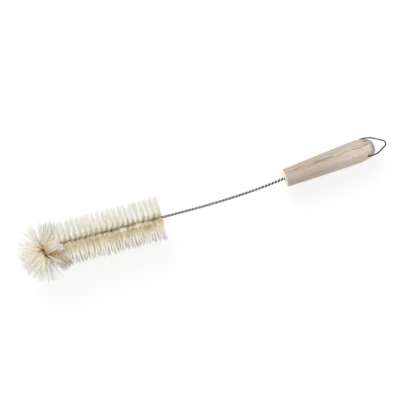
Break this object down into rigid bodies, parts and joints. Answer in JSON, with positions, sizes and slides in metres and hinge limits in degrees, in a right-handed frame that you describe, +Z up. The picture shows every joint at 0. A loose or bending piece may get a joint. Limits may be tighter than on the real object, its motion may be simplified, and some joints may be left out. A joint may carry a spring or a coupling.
{
  "type": "bottle brush",
  "caption": "Twisted-wire bottle brush with a pompon tip on a bent wire ring, a turned wooden handle and a hinged wire bail to hang it by.",
  "frame": {"origin": "middle of the brush's box, on the surface that it lies on", "axes": "+X towards the handle and its bail, -X towards the pompon tip, +Z up"},
  "size_m": [0.4238, 0.0686, 0.0657],
  "materials": {
    "turned_wood": "turned and left bare, slightly greyed",
    "galvanised_wire": "galvanised, dull",
    "bail_wire": "drawn wire, satin",
    "body_bristles": "natural bristle, slightly glossy",
    "tip_bristles": "natural bristle, slightly glossy, some brown"
  },
  "bodies": {
    "brush": {"handle": "turned_wood", "wire_strand_a": "galvanised_wire", "wire_strand_b": "galvanised_wire", "body_bristles_1": "body_bristles", "body_bristles_2": "body_bristles", "body_bristles_3": "body_bristles", "body_bristles_4": "body_bristles", "body_bristles_5": "body_bristles", "body_bristles_6": "body_bristles", "body_bristles_7": "body_bristles", "body_bristles_8": "body_bristles", "body_bristles_9": "body_bristles", "body_bristles_10": "body_bristles", "tip_bristles_1": "tip_bristles", "tip_bristles_2": "tip_bristles", "tip_bristles_3": "tip_bristles", "tip_bristles_4": "tip_bristles"},
    "bail": {"hanging_bail": "bail_wire"}
  },
  "joints": [
    {"name": "bail_swing", "type": "hinge", "parent": "brush", "child": "bail", "pos_m": [0.18705, 0.01179, 0.01226], "axis": [-0.0891, 0.8007, -0.5924], "range_deg": [-80, 80]}
  ]
}
